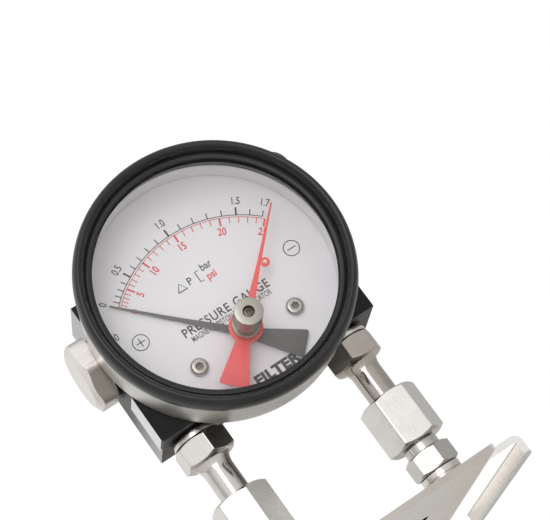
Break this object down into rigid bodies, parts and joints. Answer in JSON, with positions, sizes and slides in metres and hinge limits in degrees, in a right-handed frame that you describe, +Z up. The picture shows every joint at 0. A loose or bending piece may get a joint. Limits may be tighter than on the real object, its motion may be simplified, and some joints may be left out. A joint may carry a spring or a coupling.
{
  "type": "differential pressure gauge",
  "caption": "Round differential pressure gauge for a compressed air filter, with a reset pointer, on hexagonal port fittings and a folded bracket.",
  "frame": {"origin": "on the surface that the bracket's flanges stand on, under the middle of the assembly's box", "axes": "+Z up along the port fittings, -Y the way the dial faces, +X to the reader's right"},
  "size_m": [0.15, 0.1668, 0.1868],
  "materials": {
    "case_steel": "circumferentially brushed stainless steel",
    "fitting_steel": "turned and satin-finished stainless steel",
    "sheet_steel": "brushed stainless sheet with a bright bend",
    "spring_steel": "drawn spring wire",
    "block_black": "black anodised, bead blasted",
    "bezel_rubber": "soft black moulding with a low sheen",
    "seal_rubber": "matt black elastomer",
    "dial_white": "satin white enamel with printed scales",
    "inner_grey": "plain grey moulding",
    "pointer_grey": "satin grey enamel",
    "pointer_red": "satin red enamel",
    "window_clear": "clear polished pane",
    "brass": "machined",
    "magnet": "sintered dark magnet",
    "label_white": "blank printed film"
  },
  "bodies": {
    "gauge_body": {"case_cup": "case_steel", "case_vent_plug": "seal_rubber", "dial_plate": "dial_white", "spacer_ring": "inner_grey", "window_gasket": "seal_rubber", "window": "window_clear", "bezel_ring": "bezel_rubber", "dial_screw_left": "fitting_steel", "dial_spacer_left": "brass", "dial_screw_right": "fitting_steel", "dial_spacer_right": "brass", "knob_bushing": "brass", "arbor_bearing_front": "brass", "arbor_bearing_rear": "brass", "body_block": "block_black", "end_plug": "fitting_steel", "plug_o_ring": "seal_rubber", "plug_washer": "fitting_steel", "range_spring": "spring_steel", "spring_seat": "brass", "label_strip": "label_white", "port_seal_left": "seal_rubber", "port_collar_left": "fitting_steel", "port_adaptor_left": "fitting_steel", "coupling_left": "fitting_steel", "port_stud_left": "fitting_steel", "stud_collar_left": "fitting_steel", "port_seal_right": "seal_rubber", "port_collar_right": "fitting_steel", "port_adaptor_right": "fitting_steel", "coupling_right": "fitting_steel", "port_stud_right": "fitting_steel", "stud_collar_right": "fitting_steel", "mounting_bracket": "sheet_steel"},
    "pointer_set": {"pointer": "pointer_grey", "pointer_hub": "brass", "pointer_arbor": "fitting_steel", "magnet_carrier": "brass", "rotary_magnet": "magnet"},
    "follower_set": {"follower_pointer": "pointer_red", "follower_hub": "brass", "follower_pin": "label_white", "reset_knob": "fitting_steel", "knob_screw": "fitting_steel", "knob_shaft": "fitting_steel"},
    "piston_set": {"piston": "fitting_steel", "piston_seal": "seal_rubber", "piston_magnet": "magnet", "magnet_clip": "spring_steel"}
  },
  "joints": [
    {"name": "piston_slide", "type": "slide", "parent": "gauge_body", "child": "piston_set", "axis": [1, 0, 0], "range_m": [0, 0.012], "stiffness_N_per_m": 5900, "deforming": ["range_spring"]},
    {"name": "pointer_turn", "type": "hinge", "parent": "gauge_body", "child": "pointer_set", "pos_m": [0, -0.05655, 0.1055], "axis": [0, 1, 0], "range_deg": [0, 90.66]},
    {"name": "follower_turn", "type": "hinge", "parent": "gauge_body", "child": "follower_set", "pos_m": [0, -0.05655, 0.1055], "axis": [0, 1, 0], "range_deg": [-90.65, 0]}
  ],
  "couplings": [
    {"joint": "pointer_turn", "follows": "piston_slide", "rad_per_m": 131.8}
  ]
}
